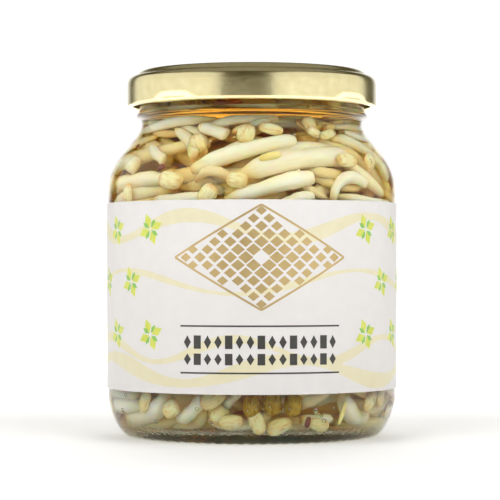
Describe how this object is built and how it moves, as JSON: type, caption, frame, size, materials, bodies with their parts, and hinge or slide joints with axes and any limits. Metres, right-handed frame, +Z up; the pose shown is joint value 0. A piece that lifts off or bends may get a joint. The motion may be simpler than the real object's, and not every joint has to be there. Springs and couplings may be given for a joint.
{
  "type": "jar of bean sprouts",
  "caption": "Glass jar of mung bean sprouts packed in brine, with a paper wrap label and a gold twist-off lid that unscrews.",
  "frame": {"origin": "middle of the base, on the surface the jar stands on", "axes": "+Z up along the jar's axis, -Y towards the label's front"},
  "size_m": [0.0808, 0.0804, 0.1014],
  "materials": {
    "glass": "clear flint glass with a faint green edge",
    "gold_tinplate": "satin gold lacquer on tinplate",
    "liner": "soft cream sealing compound",
    "label_paper": "coated label paper, faint satin",
    "brine": "clear amber liquid",
    "sprout_cream": "moist translucent plant flesh, cream white",
    "bean_green": "swollen translucent green seed"
  },
  "bodies": {
    "jar": {"jar_glass": "glass", "label": "label_paper", "brine": "brine", "sprout_tangle": "sprout_cream", "sprout_01": "sprout_cream", "sprout_02": "sprout_cream", "sprout_03": "sprout_cream", "sprout_04": "sprout_cream", "sprout_05": "sprout_cream", "sprout_06": "sprout_cream", "sprout_07": "sprout_cream", "sprout_08": "sprout_cream", "sprout_09": "sprout_cream", "sprout_10": "sprout_cream", "sprout_11": "sprout_cream", "sprout_12": "sprout_cream", "sprout_13": "sprout_cream", "sprout_14": "sprout_cream", "sprout_15": "sprout_cream", "sprout_16": "sprout_cream", "sprout_17": "sprout_cream", "sprout_18": "sprout_cream", "sprout_19": "sprout_cream", "sprout_20": "sprout_cream", "sprout_21": "sprout_cream", "sprout_22": "sprout_cream", "sprout_23": "sprout_cream", "sprout_24": "sprout_cream", "sprout_25": "sprout_cream", "sprout_26": "sprout_cream", "sprout_27": "sprout_cream", "sprout_28": "sprout_cream", "sprout_29": "sprout_cream", "sprout_30": "sprout_cream", "sprout_31": "sprout_cream", "sprout_32": "sprout_cream", "sprout_33": "sprout_cream", "sprout_34": "sprout_cream", "bean_01": "bean_green", "bean_02": "bean_green", "bean_03": "bean_green"},
    "liner": {"lid_liner": "liner"},
    "lid": {"lid": "gold_tinplate"}
  },
  "joints": [
    {"name": "lid_rise", "type": "slide", "parent": "jar", "child": "liner", "axis": [0, 0, 1], "range_m": [0, 0.00137]},
    {"name": "lid_turn", "type": "hinge", "parent": "liner", "child": "lid", "pos_m": [0, 0, 0.0914], "axis": [0, 0, 1], "range_deg": [0, 60]}
  ],
  "couplings": [
    {"joint": "lid_turn", "follows": "lid_rise", "rad_per_m": 762.15}
  ]
}
